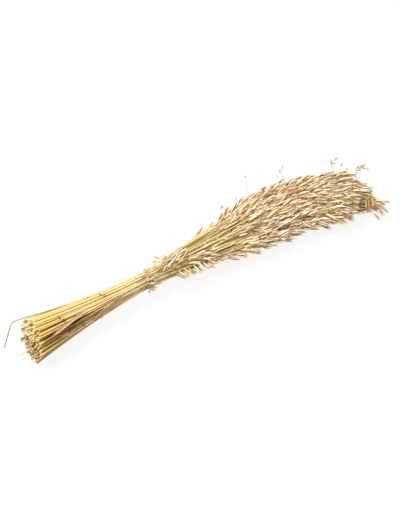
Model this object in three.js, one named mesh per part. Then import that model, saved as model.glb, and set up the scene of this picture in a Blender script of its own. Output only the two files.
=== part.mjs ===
// A bunch of dried oats, lying on a table: golden straws, cut and hollow at one end, gathered by a
// rubber band, and fanning out into long heads of pale spikelets that nod to one side.
// Millimetres, +Z up. The bunch lies along X with the cut ends at -X, and its heads nod towards -Y.
// Places along the bunch are shares of its length: 0 is the cut ends and 1 the longest tip.
import * as THREE from "three";

// The bunch as a whole
const LENGTH = 700; // along the spine, from the cut ends to the longest tip
const STALKS = 44;
const BAND_AT = 0.32; // where the rubber band pulls the straws together
const BEND_FROM = 0.69; // the straws run straight up to here, and the heads nod after it
const START_HEADING = 8.8; // degrees from X in plan
const TIP_HEADING = -41; // degrees from X in plan
const TWIST = 38; // degrees that the bunch turns about its spine, from end to end
const SPINE_HEIGHT = 35.6; // of the middle of the bunch, above the table
const TIP_DROP = 8; // how far the middle has sunk at the very tip
const DROP_FROM = 0.76;
const CUT_SLANT = 12; // straws at the top are cut this much shorter than the middle, at the bottom longer
const CUT_SCATTER = 7; // and stick out by up to this much

// Half sizes of the bunch between the middles of its outer stalks, across in plan and upwards
const FAN = { across: 40.5, up: 33 };
const NECK = { across: 15, up: 14.8 };
const HEAD = { across: 51, up: 29 };
const FAN_CURVE = 1.75; // 1 would be straight straws
const HEAD_CURVE = 1.1;
const HEAD_FULL_AT = 0.67;
const HEAD_NARROWS_AT = 0.88;
const NARROWING_CURVE = 1.2;
const TIP_SHARE = 0.3; // of the head's half sizes, left at the very tip

// One stalk: a straw and the head that grew on it
const STRAW_RADIUS_AT_CUT = 2.15;
const STRAW_RADIUS_AT_BAND = 1.45;
const STRAW_RADIUS_AT_HEAD = 1.2;
const THINNEST_STRAW = 0.9; // share of the radii above
const HOLLOW_SHARE = 0.58; // of the straw's radius
const HOLLOW_DEPTH = 11;
const SIDES = 5;
const STRAW_STATIONS = [0.11, 0.21, 0.28, 0.32, 0.42]; // where a straw has a ring of corners
const STATION_MARGIN = 0.02; // the last one is at least this far before the head

// A stalk's head, in shares of the bunch's half sizes, so that neighbours never meet
const HEAD_LENGTH = 0.36; // share of the bunch's length
const HEAD_LENGTH_SPREAD = 0.06; // heads are longer or shorter by this share of their length
const OUTER_TIPS = { from: 0.89, to: 1.01 }; // where the tips of the outer stalks lie
const INNER_TIPS = { from: 0.78, to: 0.9 };
const FEW_LONG_TIPS = 1.8; // 1 would spread the outer tips evenly
const LOW_HEADS = { 38: 0.37, 40: 0.38, 42: 0.47, 29: 0.5 }; // stalks whose heads begin low, and where
const BAND_SPACING = 0.052; // between two rings of spikelets
const INNER_BANDS = 4; // on the stalks that the others hide
const FIRST_SWELL = 0.8; // the first ring's share of a full one, and each next one's gain
const SWELL_STEP = 0.35;
const LAST_SWELL = 0.45;
const NARROWING_STEP = 0.3;
const TIP_CONE = 0.6; // length of the last cone, in spacings of the rings
const VALLEY = 0.083;
const CREST = 0.107;
const OUTER_CREST = 0.21; // on the side that faces out of the bunch
const CREST_LEAN = 0.93; // a spikelet's point lies this far towards the next ring
const UNEVEN_CREST = { from: 0.9, to: 1.05 };
const HIDDEN_WITHIN = 0.5; // stalks nearer the spine than this share are hidden
const RIM_BEYOND = 0.8; // stalks further out than this share have nothing outside them

// Thin branches of the heads that stand out of the bunch, with how far, in mm
const WISPS = [
  { stalk: 42, band: 3, reach: 40 },
  { stalk: 37, band: 2, reach: 26 },
  { stalk: 42, band: 7, reach: 26 },
  { stalk: 37, band: 7, reach: 22 },
  { stalk: 38, band: 1, reach: 9 },
  { stalk: 38, band: 2, reach: 9 },
];
const WISP_LEAN = 0.03; // a wisp's point is this much further along the bunch
const WISP_WAIST = 0.15; // a wisp narrows to this share of its foot

// The thin straw that is bent over past the cut ends
const KINKED_STALK = 37;
const KINK_AT = -0.024;
const KINK_OUT = 1.08; // the kink lies further out of the bunch than its straw, by this factor
const KINK_HANG = new THREE.Vector3(-23, -10, -47);
const KINKED_RADIUS = 1.3;

// The rubber band, wound twice
const TURN_RADIUS = 0.95; // half the thickness of the band's strand
const TURNS = 2;
const TURN_SHOULDER = 0.9; // the strand's section in its radius: where its side ends and how high it is
const TURN_CREST = 1.7;
const BAND_SEGMENTS = 26;

// Dry leaves, thin strips that lie on the bunch. An angle is in degrees, from the +Y side over the top.
const LEAF_THICKNESS = 0.5;
const LEAVES = [
  { from: 0.14, to: 0.295, startAngle: 166, endAngle: 141, width: 11, curl: 1.2 },
  { from: 0.03, to: 0.17, startAngle: 136, endAngle: 114, width: 5.5, curl: 1.6 },
  { from: 0.05, to: 0.11, startAngle: 150, endAngle: 163, width: 5, curl: 1.4 },
];
const LEAF_LENGTH_STEPS = 8;
const LEAF_WIDTH_STEPS = 2;
const LEAF_FOOT = 0.75; // of the full width, at the broad end
const LEAF_POINT = { width: 0.25, slope: 3 };

// A short thick straw that pokes out of the heads, and two whiskers at the cut ends
const STRAY = { from: 0.425, to: 0.53, angle: 66, share: 1.22, radius: 2.4 };
const WHISKERS = [
  { from: -0.044, to: 0.07, angle: 272, share: 0.48, radius: 0.8 },
  { from: -0.048, to: 0.06, angle: 242, share: 0.54, radius: 0.8 },
];

const GAP = 0.35; // between pieces that touch

// Colours of the dry plant, as seen in daylight
const GOLDEN_STRAW = "#d9b666";
const PALE_HUSK = "#dcc397";
const DRY_LEAF = "#b79a74";
const THIN_STRAW = "#cfc08a";
const RUBBER = "#d8cba8";

const GOLDEN_ANGLE = Math.PI * (3 - Math.sqrt(5));
const radians = THREE.MathUtils.degToRad;
const clamp = THREE.MathUtils.clamp;
const lerp = THREE.MathUtils.lerp;
const UP = new THREE.Vector3(0, 0, 1);

// Evenly scattered numbers from 0 to 1, the same for a given stalk every time.
const SCATTER = [0.6180339887, 0.7548776662, 0.5698402909, 0.8191725134];
const scatter = (i, kind) => ((i + 1) * SCATTER[kind]) % 1;

// The spine: its heading in plan, and its points, one for each small step along it.
const SPINE_STEPS = 140;
function heading(t) {
  const bent = clamp((t - BEND_FROM) / (1 - BEND_FROM), 0, 1);
  return radians(lerp(START_HEADING, TIP_HEADING, bent));
}
const spinePoints = [new THREE.Vector2()];
for (let k = 0; k < SPINE_STEPS; k++) {
  const turn = heading((k + 0.5) / SPINE_STEPS);
  const step = new THREE.Vector2(Math.cos(turn), Math.sin(turn)).multiplyScalar(LENGTH / SPINE_STEPS);
  spinePoints.push(spinePoints[k].clone().add(step));
}
function spineAt(t) {
  const along = clamp(t, 0, 1) * SPINE_STEPS;
  const k = Math.min(Math.floor(along), SPINE_STEPS - 1);
  const p = spinePoints[k].clone().lerp(spinePoints[k + 1], along - k);
  const beyond = (t - clamp(t, 0, 1)) * LENGTH;
  const dropped = clamp((t - DROP_FROM) / (1 - DROP_FROM), 0, 1);
  return new THREE.Vector3(
    p.x + Math.cos(heading(t)) * beyond,
    p.y + Math.sin(heading(t)) * beyond,
    SPINE_HEIGHT - TIP_DROP * dropped ** 2,
  );
}

// The bunch's half size at t, for one of its two directions, across or up.
function halfSize(t, direction) {
  const fan = FAN[direction];
  const neck = NECK[direction];
  const head = HEAD[direction];
  if (t < BAND_AT) return neck + (fan - neck) * (1 - t / BAND_AT) ** FAN_CURVE;
  const opened = clamp((t - BAND_AT) / (HEAD_FULL_AT - BAND_AT), 0, 1);
  const closing = clamp((t - HEAD_NARROWS_AT) / (1 - HEAD_NARROWS_AT), 0, 1);
  const narrowing = 1 - (1 - TIP_SHARE) * closing ** NARROWING_CURVE;
  return (neck + (head - neck) * opened ** HEAD_CURVE) * narrowing;
}

// How far the bunch has turned about its spine at t.
const twistAt = (t) => radians(TWIST) * (t - BAND_AT);

// The point of the bunch at t whose place in the section is (u, v), in shares of the half sizes,
// moved sideways and up by a few millimetres.
function inBunch(t, u, v, sideways = 0, upwards = 0) {
  const turn = heading(t);
  const twist = twistAt(t);
  const across = u * Math.cos(twist) - v * Math.sin(twist);
  const up = u * Math.sin(twist) + v * Math.cos(twist);
  const left = across * halfSize(t, "across") + sideways;
  const p = spineAt(t);
  return new THREE.Vector3(
    p.x - Math.sin(turn) * left,
    p.y + Math.cos(turn) * left,
    p.z + up * halfSize(t, "up") + upwards,
  );
}

// A stalk's place in the section: the seeds of a sunflower, which are evenly spread.
function site(i) {
  const out = Math.sqrt((i + 0.5) / STALKS);
  const angle = i * GOLDEN_ANGLE;
  return { out, angle, u: out * Math.cos(angle), v: out * Math.sin(angle) };
}

function strawRadius(t, i) {
  const toBand = clamp(t / BAND_AT, 0, 1);
  const toHead = clamp((t - BAND_AT) / (HEAD_LENGTH / 2), 0, 1);
  const atCut = i === KINKED_STALK ? KINKED_RADIUS : STRAW_RADIUS_AT_CUT;
  const thick = lerp(atCut, STRAW_RADIUS_AT_BAND, toBand);
  return lerp(thick, STRAW_RADIUS_AT_HEAD, toHead) * lerp(THINNEST_STRAW, 1, scatter(i, 2));
}

// Where a stalk is cut, where its head begins and where it ends.
function reach(i) {
  const { out, v } = site(i);
  const cut = (CUT_SLANT * v - CUT_SCATTER * scatter(i, 3)) / LENGTH;
  const tips = out < HIDDEN_WITHIN ? INNER_TIPS : OUTER_TIPS;
  const tip = lerp(tips.from, tips.to, scatter(i, 0) ** FEW_LONG_TIPS);
  const longer = lerp(-HEAD_LENGTH_SPREAD, HEAD_LENGTH_SPREAD, scatter(i, 1));
  const head = LOW_HEADS[i] ?? tip - HEAD_LENGTH * (1 + longer);
  return { cut, head, tip };
}

// A closed solid along the bunch, made by LatheGeometry along Y and then put into its place. Each
// ring has half sizes, and place gives the point of a ring that is x to the left of its middle and
// y above it. The first and last rings are points on the axis.
function latheAlong(rings, place) {
  const last = rings.length - 1;
  const profile = rings.map((ring, k) => new THREE.Vector2(k === 0 || k === last ? 0 : 1, k));
  const lathe = new THREE.LatheGeometry(profile, SIDES);
  const at = lathe.getAttribute("position");
  for (let n = 0; n < at.count; n++) {
    const ring = rings[Math.round(at.getY(n))];
    const angle = Math.atan2(at.getX(n), at.getZ(n)) + (ring.turn ?? 0);
    const share = Math.hypot(at.getX(n), at.getZ(n));
    const p = place(ring, Math.cos(angle) * share * ring.across, Math.sin(angle) * share * ring.up);
    at.setXYZ(n, p.x, p.y, p.z);
  }
  return lathe;
}

// The triangles of a pyramid on three corners, without its foot.
const pyramid = (corners, point) => corners.flatMap((c, k) => [c, corners[(k + 1) % 3], point]);

// The same, but drawn in to a thin needle soon after its foot.
function needle(corners, point) {
  const middle = corners.reduce((sum, c) => sum.add(c), new THREE.Vector3()).divideScalar(3);
  const foot = middle.clone().lerp(point, WISP_WAIST);
  const waist = corners.map((c) => c.clone().sub(middle).multiplyScalar(WISP_WAIST).add(foot));
  const collar = corners.flatMap((c, k) => {
    const next = (k + 1) % 3;
    return [c, corners[next], waist[next], c, waist[next], waist[k]];
  });
  return [...collar, ...pyramid(waist, point)];
}

// Raises a point on every second triangle between two rings of a lathe. For its corners and its band,
// crest gives the point and whether it is a wisp's, or nothing where the triangle stays flat.
function raisePoints(lathe, bands, crest) {
  const flat = lathe.toNonIndexed().getAttribute("position");
  const raised = [];
  for (let n = 0; n < flat.count; n += 3) {
    const corners = [0, 1, 2].map((k) => new THREE.Vector3().fromBufferAttribute(flat, n + k));
    const triangle = n / 3;
    const band = Math.floor(triangle / 2) % bands;
    const top = triangle % 2 === 1 ? crest(corners, band) : null;
    if (!top) raised.push(...corners);
    else raised.push(...(top.isWisp ? needle : pyramid)(corners, top.point));
  }
  return new THREE.BufferGeometry().setFromPoints(raised);
}

// The rings of the kinked straw before its place in the bunch: its cut end, and the kink.
function kinkedRings(u, v) {
  const kink = inBunch(KINK_AT, u * KINK_OUT, v * KINK_OUT);
  const end = kink.clone().add(KINK_HANG);
  const rising = KINK_HANG.clone().negate().normalize();
  const onward = inBunch(0, u, v).sub(kink).normalize();
  const round = (middle, direction, radius) => {
    const left = UP.clone().cross(direction).normalize();
    return { middle, left, above: direction.clone().cross(left), across: radius, up: radius };
  };
  return [
    round(end, rising, 0),
    round(end, rising, KINKED_RADIUS),
    round(kink, rising.clone().add(onward).normalize(), KINKED_RADIUS),
  ];
}

// One oat stalk: a straw with a hollow end, and a head with its spikelets.
function stalk(i) {
  const { u, v, out, angle } = site(i);
  const { cut, head, tip } = reach(i);
  const hidden = out < HIDDEN_WITHIN;

  const straw = (t, share = 1) => ({ t, across: strawRadius(t, i) * share, up: strawRadius(t, i) * share });
  const hollowEnd = cut + HOLLOW_DEPTH / LENGTH;
  const hollow = [straw(hollowEnd), straw(hollowEnd, HOLLOW_SHARE), straw(cut, HOLLOW_SHARE), straw(cut)];
  const rings = i === KINKED_STALK ? kinkedRings(u, v) : hollow;
  rings.push(...STRAW_STATIONS.filter((t) => t < head - STATION_MARGIN).map((t) => straw(t)), straw(head));

  // The head: rings that swell and narrow again, each turned so that the corners alternate.
  const firstHeadBand = rings.length - 1;
  const bands = hidden ? INNER_BANDS : Math.round((tip - head) / BAND_SPACING);
  for (let k = 1; k <= bands; k++) {
    const t = lerp(head, tip, k / (bands + TIP_CONE));
    const opening = Math.min(1, FIRST_SWELL + (k - 1) * SWELL_STEP);
    const swell = opening * Math.min(1, LAST_SWELL + (bands - k) * NARROWING_STEP);
    const across = VALLEY * swell * halfSize(t, "across");
    rings.push({ t, across, up: VALLEY * swell * halfSize(t, "up"), turn: k * (Math.PI / SIDES), swell });
  }
  rings.push({ t: tip, across: 0, up: 0 });

  const place = (ring, x, y) =>
    ring.middle
      ? ring.middle.clone().addScaledVector(ring.left, x).addScaledVector(ring.above, y)
      : inBunch(ring.t, u, v, x, y);
  const lathe = latheAlong(rings, place);
  if (hidden) return lathe;

  // A spikelet's point lies ahead of its triangle, further out where nothing is outside it.
  const crest = (corners, band) => {
    if (band < firstHeadBand || band >= rings.length - 2) return null;
    const [from, to] = [rings[band], rings[band + 1]];
    const t = lerp(from.t, to.t, CREST_LEAN);
    const turn = heading(t);
    const middle = corners.reduce((sum, c) => sum.add(c), new THREE.Vector3()).divideScalar(3);
    const away = middle.sub(inBunch((from.t + to.t) / 2, u, v));
    const x = (Math.cos(turn) * away.y - Math.sin(turn) * away.x) / halfSize(t, "across");
    const facing = Math.atan2(away.z / halfSize(t, "up"), x);
    const facesOut = Math.cos(facing - angle - twistAt(t));
    const outward = out > RIM_BEYOND ? Math.max(0, facesOut) : 0;
    const unevenness = lerp(UNEVEN_CREST.from, UNEVEN_CREST.to, scatter(band * STALKS + i, 1));
    const share = lerp(CREST, OUTER_CREST * unevenness, outward ** 2) * (to.swell ?? 1);
    const wisp = WISPS.find((w) => w.stalk === i && w.band === band - firstHeadBand);
    const isWisp = Boolean(wisp) && facesOut > Math.cos(Math.PI / 4);
    const stretch = isWisp ? wisp.reach : 0;
    const sideways = Math.cos(facing) * (share * halfSize(t, "across") + stretch);
    const upwards = Math.sin(facing) * (share * halfSize(t, "up") + stretch);
    return { isWisp, point: inBunch(isWisp ? t + WISP_LEAN : t, u, v, sideways, upwards) };
  };
  return raisePoints(lathe, rings.length - 1, crest);
}

// A plain rod along the bunch, at an angle round its section and a share of its half sizes.
function rod({ from, to, angle, share, radius }) {
  const u = Math.cos(radians(angle)) * share;
  const v = Math.sin(radians(angle)) * share;
  const ring = (t, size) => ({ t, across: size, up: size });
  const middle = (from + to) / 2;
  const rings = [ring(from, 0), ring(from, radius), ring(middle, radius), ring(to, radius), ring(to, 0)];
  return latheAlong(rings, ({ t }, x, y) => inBunch(t, u, v, x, y));
}

// A dry leaf: a thin box bent onto the outer stalks, pointed at its far end, its edges curled away.
function leaf({ from, to, startAngle, endAngle, width, curl }) {
  const strip = new THREE.BoxGeometry(1, 1, 1, LEAF_LENGTH_STEPS, LEAF_WIDTH_STEPS, 1);
  const at = strip.getAttribute("position");
  for (let n = 0; n < at.count; n++) {
    const along = at.getX(n) + 0.5;
    const t = lerp(from, to, along);
    const point = Math.min(1, LEAF_POINT.width + (1 - along) * LEAF_POINT.slope);
    const taper = lerp(LEAF_FOOT, 1, Math.sin(Math.PI * along)) * point;
    const edge = at.getY(n) * 2;
    const size = halfSize(t, "up");
    const clearance = strawRadius(t, 0) + GAP + curl * edge ** 2 + LEAF_THICKNESS * (at.getZ(n) + 0.5);
    const share = 1 + clearance / size;
    const angle = radians(lerp(startAngle, endAngle, along)) - twistAt(t);
    const round = angle - (edge * taper * width) / 2 / size;
    const p = inBunch(t, Math.cos(round) * share, Math.sin(round) * share);
    at.setXYZ(n, p.x, p.y, p.z);
  }
  return strip;
}

// The rubber band: its turns side by side, in one ring round the neck of the bunch.
function rubberBand() {
  const inner = NECK.across + STRAW_RADIUS_AT_BAND + GAP;
  const half = TURNS * TURN_RADIUS;
  const profile = [new THREE.Vector2(inner, -half), new THREE.Vector2(inner, half)];
  for (let turn = TURNS - 1; turn >= 0; turn--) {
    const middle = (2 * turn + 1) * TURN_RADIUS - half;
    profile.push(new THREE.Vector2(inner + TURN_RADIUS, middle + TURN_RADIUS * TURN_SHOULDER));
    profile.push(new THREE.Vector2(inner + TURN_RADIUS * TURN_CREST, middle));
    profile.push(new THREE.Vector2(inner + TURN_RADIUS, middle - TURN_RADIUS * TURN_SHOULDER));
  }
  profile.push(profile[0].clone());
  const ring = new THREE.LatheGeometry(profile.reverse(), BAND_SEGMENTS);
  ring.rotateZ(-Math.PI / 2);
  return ring;
}

function addPiece(group, name, geometry, colour, roughness) {
  const material = new THREE.MeshStandardMaterial({ color: colour, roughness, metalness: 0 });
  const mesh = new THREE.Mesh(geometry, material);
  mesh.name = name;
  group.add(mesh);
  return mesh;
}

const bunch = new THREE.Group();
for (let i = 0; i < STALKS; i++) {
  const colour = new THREE.Color(GOLDEN_STRAW).lerp(new THREE.Color(PALE_HUSK), scatter(i, 1));
  addPiece(bunch, `oat_stalk_${String(i + 1).padStart(2, "0")}`, stalk(i), colour, 0.55);
}
LEAVES.forEach((strip, k) => addPiece(bunch, `dry_leaf_${k + 1}`, leaf(strip), DRY_LEAF, 0.7));
WHISKERS.forEach((whisker, k) => addPiece(bunch, `straw_whisker_${k + 1}`, rod(whisker), THIN_STRAW, 0.5));
addPiece(bunch, "stray_straw", rod(STRAY), GOLDEN_STRAW, 0.5);
const band = addPiece(bunch, "rubber_band", rubberBand(), RUBBER, 0.6);
band.position.copy(spineAt(BAND_AT));
band.rotation.z = heading(BAND_AT);

// The frame's origin is under the middle of the bunch, on the table.
const box = new THREE.Box3().setFromObject(bunch);
const centre = box.getCenter(new THREE.Vector3());
bunch.position.set(-centre.x, -centre.y, -box.min.z);
const oatBunch = new THREE.Group();
oatBunch.add(bunch);

export default oatBunch;
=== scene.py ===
import math

import bpy
import numpy as np
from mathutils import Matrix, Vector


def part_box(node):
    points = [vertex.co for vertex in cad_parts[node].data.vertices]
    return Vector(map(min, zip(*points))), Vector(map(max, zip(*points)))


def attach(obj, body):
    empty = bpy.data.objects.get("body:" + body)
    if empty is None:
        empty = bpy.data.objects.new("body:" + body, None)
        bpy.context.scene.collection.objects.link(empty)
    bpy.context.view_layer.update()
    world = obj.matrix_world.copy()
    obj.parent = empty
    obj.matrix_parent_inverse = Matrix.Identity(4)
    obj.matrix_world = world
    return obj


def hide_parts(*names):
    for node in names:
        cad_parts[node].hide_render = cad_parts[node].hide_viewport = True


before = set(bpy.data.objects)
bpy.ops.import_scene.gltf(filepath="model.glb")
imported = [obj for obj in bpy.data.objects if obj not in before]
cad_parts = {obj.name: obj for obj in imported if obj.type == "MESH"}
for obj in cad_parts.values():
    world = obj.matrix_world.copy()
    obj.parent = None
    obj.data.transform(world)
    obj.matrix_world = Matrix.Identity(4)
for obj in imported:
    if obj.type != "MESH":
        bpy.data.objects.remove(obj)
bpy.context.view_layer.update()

# The shape of the bunch. Some 150 stalks of ripe oats were laid side by side, tied at the waist
# and cut level, so they fan out below the tie and their heads open into one drooping plume above.

# Lengths are in metres. t runs along the bunch, from 0 at the cut ends to 1 at the tips.
LENGTH = 0.700
TIE_AT = 0.32
BEND_FROM = 0.69
CUT_HEADING = 8.8
TIP_HEADING = -41
MIDDLE_HEIGHT = 0.0356
DROP_FROM = 0.76
TIP_DROP = 0.008
TWIST = math.radians(38)

# Half the width and half the height of the fan at its cut ends, the neck at the tie, and the full plume.
FAN = np.array([0.0405, 0.033])
NECK = np.array([0.015, 0.0148])
HEAD = np.array([0.051, 0.029])
FAN_FLARE = 1.75
HEAD_FULL_AT = 0.67
HEAD_FLARE = 1.1
HEAD_NARROWS_AT = 0.88
HEAD_CLOSING = 1.2
TIP_SHARE = 0.3
SPINE_STEPS = 140


def heading(t):
    """The way the bunch points on the table: even up to the bend, then turning evenly to the tips."""
    return np.radians(np.interp(t, [BEND_FROM, 1], [CUT_HEADING, TIP_HEADING]))


step_middles = (np.arange(SPINE_STEPS) + 0.5) / SPINE_STEPS
step_ends = np.linspace(0, 1, SPINE_STEPS + 1)
spine_x = np.concatenate([[0], np.cumsum(np.cos(heading(step_middles)))]) * LENGTH / SPINE_STEPS
spine_y = np.concatenate([[0], np.cumsum(np.sin(heading(step_middles)))]) * LENGTH / SPINE_STEPS


def middle_line(t):
    """The line through the middle of the bunch: short steps along the heading, straight on past its ends."""
    inside = np.clip(t, 0, 1)
    past = (t - inside) * LENGTH
    x = np.interp(inside, step_ends, spine_x) + np.cos(heading(t)) * past
    y = np.interp(inside, step_ends, spine_y) + np.sin(heading(t)) * past
    drop = TIP_DROP * np.clip((t - DROP_FROM) / (1 - DROP_FROM), 0, 1) ** 2
    return np.stack([x, y, MIDDLE_HEIGHT - drop], -1)


def half_size(t):
    """Half the bunch's width and height: a fan up to the tie, then a plume that opens and closes again."""
    t = np.asarray(t)[..., None]
    fan = NECK + (FAN - NECK) * np.maximum(1 - t / TIE_AT, 0) ** FAN_FLARE
    opened = np.clip((t - TIE_AT) / (HEAD_FULL_AT - TIE_AT), 0, 1) ** HEAD_FLARE
    closing = np.clip((t - HEAD_NARROWS_AT) / (1 - HEAD_NARROWS_AT), 0, 1) ** HEAD_CLOSING
    return np.where(t < TIE_AT, fan, (NECK + (HEAD - NECK) * opened) * (1 - (1 - TIP_SHARE) * closing))


# The middle line goes through the middle of the tie, where the frame has it.
tie_low, tie_high = (np.array(corner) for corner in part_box("rubber_band"))
tie_middle = (tie_low + tie_high) / 2
shift = tie_middle - middle_line(np.array(TIE_AT))


def in_bunch(t, u, v):
    """The point of the bunch at t whose place across it is u to the side and v up, where 1 is the rim.

    The bunch twists: places turn about the middle line as t grows, by TWIST from end to end, and stand as
    given at the tie.
    """
    t, u, v = np.broadcast_arrays(t, u, v)
    turn = TWIST * (t - TIE_AT)
    size = half_size(t)
    left = (u * np.cos(turn) - v * np.sin(turn)) * size[..., 0]
    up = (u * np.sin(turn) + v * np.cos(turn)) * size[..., 1]
    ahead = heading(t)
    return middle_line(t) + shift + np.stack([-np.sin(ahead) * left, np.cos(ahead) * left, up], -1)


# The straws. Each is a hollow tube of glossy golden straw, cut off with a knife, thickened at one
# or two knots, and thinner towards its head. 44 of them, set out like the seeds of a sunflower,
# stand where the frame has its stalks, and 106 thinner ones lie in the gaps between them.

STALKS = 44
STRAWS = 150
CUT_SLANT = 0.012
CUT_SCATTER = 0.007
STRAW_AT_CUT = 0.00215
STRAW_AT_TIE = 0.00155
STRAW_AT_HEAD = 0.0012
STRAW_AT_TIP = 0.00022
THIN_SHARE = 0.66
HEAD_SPAN = 0.36
LOW_HEADS = {38: 0.37, 40: 0.38, 42: 0.47, 29: 0.5}
GOLDEN_ANGLE = math.pi * (3 - math.sqrt(5))
FULL_TURN = 6.28
IRRATIONAL = (0.6180339887, 0.7548776662, 0.5698402909, 0.8191725134)

number = np.arange(STRAWS)
main = number < STALKS


def scatter(kind):
    """A number from 0 to 1 for each straw, spread evenly: an irrational step's multiples, less whole ones."""
    return (number + 1) * IRRATIONAL[kind] % 1


# The thin straws start wider than they end. Each moves away from every straw that is closer to it than its
# elbow room, but not out to the rim, until all of them share the room evenly.
ELBOW_ROOM = 0.17
PUSH_SHARE = 0.35
PUSHES = 80
THIN_START = 0.93
THIN_WITHIN = 0.86
place = np.stack([np.cos(number * GOLDEN_ANGLE), np.sin(number * GOLDEN_ANGLE)], -1)
place[:STALKS] *= np.sqrt((number[:STALKS, None] + 0.5) / STALKS)
place[STALKS:] *= THIN_START * np.sqrt((number[: STRAWS - STALKS, None] + 0.5) / (STRAWS - STALKS))
for _ in range(PUSHES):
    apart = place[:, None] - place[None]
    distance = np.linalg.norm(apart, axis=-1) + 1e-6
    push = (apart / distance[..., None] * np.maximum(ELBOW_ROOM - distance, 0)[..., None]).sum(1)
    place[STALKS:] += PUSH_SHARE * push[STALKS:]
    place[STALKS:] /= np.maximum(np.linalg.norm(place[STALKS:], axis=-1, keepdims=True) / THIN_WITHIN, 1)

# How far out each straw stands, the side of the bunch that it is on, as an angle from the far side over the
# top, and the stalk whose piece it is made in: its own, or the nearest one for a thin straw.
rim = np.linalg.norm(place, axis=-1)
side = np.degrees(np.arctan2(place[:, 1], place[:, 0]))
to_stalks = np.linalg.norm(place[STALKS:, None] - place[None, :STALKS], axis=-1)
owner = np.concatenate([number[:STALKS], to_stalks.argmin(1)])

# The knife went through at a slant, and the straws had slipped a little.
cut = (CUT_SLANT * place[:, 1] - CUT_SCATTER * scatter(3)) / LENGTH

# The outer stalks end at 0.89 to 1.01 of the bunch, the inner ones at 0.78 to 0.90, and the thin straws at
# 0.86 to 0.985, but sooner on the upper far side. Heads are about HEAD_SPAN long, but a few begin lower.
outer = rim > np.where(main, 0.5, 0.55)
tip = np.where(outer, 0.89 + 0.12 * scatter(0) ** 1.8, 0.78 + 0.12 * scatter(0) ** 1.5)
tip[~main] = np.where(outer, 0.90 + 0.085 * scatter(0), 0.86 + 0.11 * scatter(0))[~main]
far_side = ~main & (np.abs(side - 22) < 28)
tip[far_side] = np.minimum(tip[far_side], 0.905)
head = tip - HEAD_SPAN * (1 + 0.06 * (2 * scatter(1) - 1))
head[~main] -= 0.04 * scatter(2)[~main]
for straw, start in LOW_HEADS.items():
    head[straw] = start
slimness = np.where(main, 0.86 + 0.14 * scatter(2), 0.66 + 0.34 * scatter(2))

# One thin straw sticks out of the cut ends, where it was bent over, and its end hangs down from the kink.
KINKED = 37
KINK_AT = -0.024
KINK_OUT = 1.08
KINK_RISES_FROM = 0.11
KINK_HANG = np.array([-0.023, -0.010, -0.047])
KINKED_RADIUS = 0.00125
hang = np.linalg.norm(KINK_HANG) / LENGTH
cut[KINKED] = KINK_AT - hang

# Rings stand every 15 mm or so, with four more at each knot.
RINGS = 44
KNOT_RINGS = np.array([-0.0052, -0.0016, 0.0016, 0.0052])
knots = np.stack([0.05 + 0.15 * scatter(1), 0.36 + 0.04 * scatter(2)], -1)
knots[head < 0.42, 1] = 0.30
knots[KINKED] = [0.09, 0.4]
even = cut[:, None] + (tip - cut)[:, None] * np.linspace(0, 1, RINGS)
close = (knots[..., None] + KNOT_RINGS).reshape(STRAWS, -1)
along = np.sort(np.concatenate([even, close], 1), axis=1)

# The straws sway a little from side to side, the thin ones and the heads more than the rest.
wave = along * (5 + 4 * scatter(3)[:, None]) + FULL_TURN * scatter(0)[:, None]
sway = np.where(main, 0.025, 0.07)[:, None] * np.sin(wave)
sway = sway * (1 + 0.9 * np.clip((along - 0.36) / 0.15, 0, 1))
sway_side = FULL_TURN * scatter(1)[:, None]
line = in_bunch(along, place[:, :1] + sway * np.cos(sway_side), place[:, 1:] + sway * np.sin(sway_side))

# The kinked straw rises out of the others up to its kink, and hangs from there.
kink_rise = np.clip((KINK_RISES_FROM - along[KINKED]) / (KINK_RISES_FROM - KINK_AT), 0, 1)
risen = 1 + (KINK_OUT - 1) * kink_rise[:, None]
line[KINKED] = in_bunch(along[KINKED], *(place[KINKED] * risen).T)
fallen = np.clip((KINK_AT - along[KINKED]) / hang, 0, 1)[:, None]
kink = in_bunch(KINK_AT, *(place[KINKED] * KINK_OUT))
line[KINKED] = np.where(fallen > 0, kink + KINK_HANG * fallen, line[KINKED])


def unit(vectors):
    """The same directions with a length of 1."""
    return vectors / np.linalg.norm(vectors, axis=-1, keepdims=True)


def across(way):
    """Two directions across a way through space: one level, the other as near to upright as it can be."""
    level = unit(np.cross([0, 0, 1.0], way))
    return level, unit(np.cross(way, level))


def rings_round(line, radius, sides):
    """A tube: at each point of the line, sides points evenly round it at the radius given there."""
    level, upright = across(unit(np.gradient(line, axis=-2)))
    angle = 2 * math.pi * np.arange(sides) / sides
    spoke = level[..., None, :] * np.cos(angle)[:, None] + upright[..., None, :] * np.sin(angle)[:, None]
    return line[..., None, :] + spoke * np.asarray(radius)[..., None, None]


def near(value, middle, reach):
    """1 where a value is at the middle, fading to 0 beyond the reach on either side of it, like a bell."""
    return np.exp(-(((value - middle) / reach) ** 2))


# Above its knots more than half of the straws keep the sheath, the foot of a leaf that wraps them.
KNOT_REACH = 0.0026
KNOT_SWELL = 0.0002
SHEATH_SPAN = 0.11
SHEATH_THICKNESS = 0.00012
THINS_OVER = 0.18
thick = np.where(number == KINKED, KINKED_RADIUS, STRAW_AT_CUT)[:, None]
to_tie = np.clip(along / TIE_AT, 0, 1)
to_head = np.clip((along - TIE_AT) / THINS_OVER, 0, 1)
to_tip = np.clip((along - head[:, None]) / (tip - head)[:, None], 0, 1)
thinner = np.where(main, 1, THIN_SHARE)[:, None]
radius = thick + (np.minimum(STRAW_AT_TIE * thinner, thick) - thick) * to_tie
radius = radius + (STRAW_AT_HEAD * thinner - radius) * to_head
radius = (radius + (STRAW_AT_TIP - radius) * to_tip) * slimness[:, None]
knot = near(along[..., None], knots[:, None], KNOT_REACH).sum(-1)
past_knot = (along[..., None] > knots[:, None]) & (along[..., None] < knots[:, None] + SHEATH_SPAN)
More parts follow.
